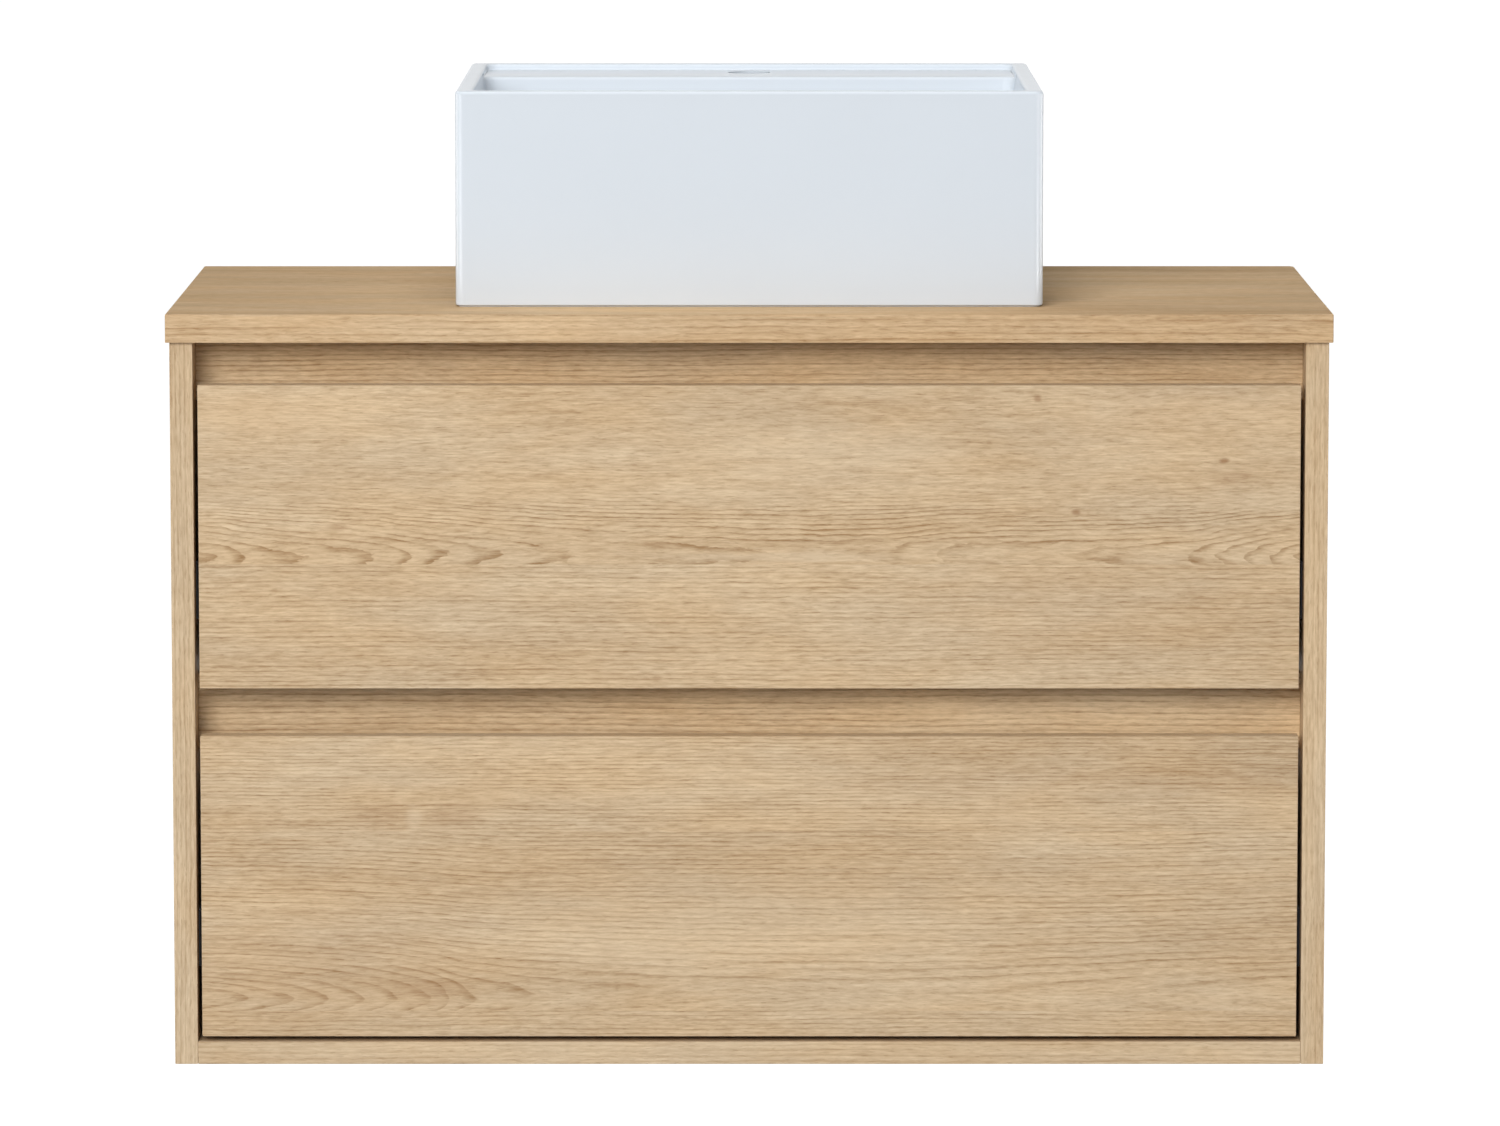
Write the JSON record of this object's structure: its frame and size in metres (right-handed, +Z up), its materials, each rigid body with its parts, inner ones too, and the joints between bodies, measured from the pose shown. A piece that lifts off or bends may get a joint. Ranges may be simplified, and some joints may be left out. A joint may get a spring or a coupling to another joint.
{
  "type": "vessel sink on vanity",
  "caption": "Wall-hung oak vanity with handleless drawers under finger recesses, a slim worktop and a thin-walled rectangular ceramic counter-top basin with a rear tap deck.",
  "frame": {"origin": "on the wall plane, at the centre of the four screw holes of the two wall plates that the cabinet hangs on", "axes": "+X along the wall to the right as seen from the room, +Y into the wall, +Z up"},
  "size_m": [0.906, 0.46, 0.759],
  "materials": {
    "oak_front": "pale natural oak decor, fine horizontal grain, matt",
    "oak_carcass": "pale natural oak decor, matt",
    "oak_worktop": "pale natural oak decor, matt lacquer",
    "oak_hidden": "oak decor board, unseen",
    "drawer_board": "light grey melamine-faced board",
    "runner_steel": "black electro-coated sheet steel, satin",
    "zinc_steel": "zinc plated",
    "hanger_plastic": "light grey, matt",
    "beech": "plain beech",
    "glazed_ceramic": "white, glossy glaze",
    "sealant": "clear grey silicone, satin",
    "rubber": "black, matt",
    "white_plastic": "white, satin",
    "chrome": "polished chrome"
  },
  "bodies": {
    "cabinet": {"side_panel_left": "oak_carcass", "side_panel_right": "oak_carcass", "bottom_panel": "oak_carcass", "top_recess_rail": "oak_carcass", "front_stretcher": "oak_hidden", "middle_recess_rail": "oak_carcass", "back_rail_upper": "oak_hidden", "back_rail_lower": "oak_hidden", "worktop": "oak_worktop", "worktop_brackets": "zinc_steel", "worktop_screws": "zinc_steel", "dowels": "beech", "cam_discs": "zinc_steel", "cam_bolts": "zinc_steel", "hanger_case_left": "hanger_plastic", "hanger_case_right": "hanger_plastic", "hanger_hook_left": "zinc_steel", "hanger_hook_right": "zinc_steel", "hanger_screws": "zinc_steel", "wall_plate_left": "zinc_steel", "wall_plate_right": "zinc_steel", "basin": "glazed_ceramic", "basin_sealant": "sealant", "waste_body": "chrome", "waste_top_ring": "rubber", "waste_cartridge": "white_plastic", "waste_washer": "rubber", "waste_lock_nut": "chrome", "trap_inlet_nut": "chrome", "trap_inlet_tube": "chrome", "trap_body": "chrome", "trap_cup": "chrome", "trap_outlet_nut": "chrome", "trap_outlet_pipe": "chrome", "upper_runner_fixed": "runner_steel", "lower_runner_fixed": "runner_steel"},
    "upper_drawer": {"upper_runner_drawer": "runner_steel", "upper_drawer_front": "oak_front", "upper_box_front": "drawer_board", "upper_box_side_left": "drawer_board", "upper_box_side_right": "drawer_board", "upper_box_bottom": "drawer_board", "upper_box_back_left": "drawer_board", "upper_box_back_right": "drawer_board", "trap_bay_front": "drawer_board", "trap_bay_left": "drawer_board", "trap_bay_right": "drawer_board", "upper_front_screws": "zinc_steel"},
    "upper_runner_middles": {"upper_runner_middle": "runner_steel"},
    "lower_drawer": {"lower_runner_drawer": "runner_steel", "lower_drawer_front": "oak_front", "lower_box_front": "drawer_board", "lower_box_side_left": "drawer_board", "lower_box_side_right": "drawer_board", "lower_box_bottom": "drawer_board", "lower_box_back": "drawer_board", "lower_front_screws": "zinc_steel"},
    "lower_runner_middles": {"lower_runner_middle": "runner_steel"},
    "plug": {"waste_plug": "chrome", "waste_plug_seal": "rubber"}
  },
  "joints": [
    {"name": "upper_drawer_slide", "type": "slide", "parent": "cabinet", "child": "upper_drawer", "axis": [0, -1, 0], "range_m": [0, 0.4]},
    {"name": "upper_runner_slide", "type": "slide", "parent": "cabinet", "child": "upper_runner_middles", "axis": [0, -1, 0], "range_m": [0, 0.2]},
    {"name": "lower_drawer_slide", "type": "slide", "parent": "cabinet", "child": "lower_drawer", "axis": [0, -1, 0], "range_m": [0, 0.4]},
    {"name": "lower_runner_slide", "type": "slide", "parent": "cabinet", "child": "lower_runner_middles", "axis": [0, -1, 0], "range_m": [0, 0.2]},
    {"name": "plug_lift", "type": "slide", "parent": "cabinet", "child": "plug", "axis": [0, 0, 1], "range_m": [0, 0.009]}
  ],
  "couplings": [
    {"joint": "upper_runner_slide", "follows": "upper_drawer_slide", "ratio": 0.5},
    {"joint": "lower_runner_slide", "follows": "lower_drawer_slide", "ratio": 0.5}
  ]
}
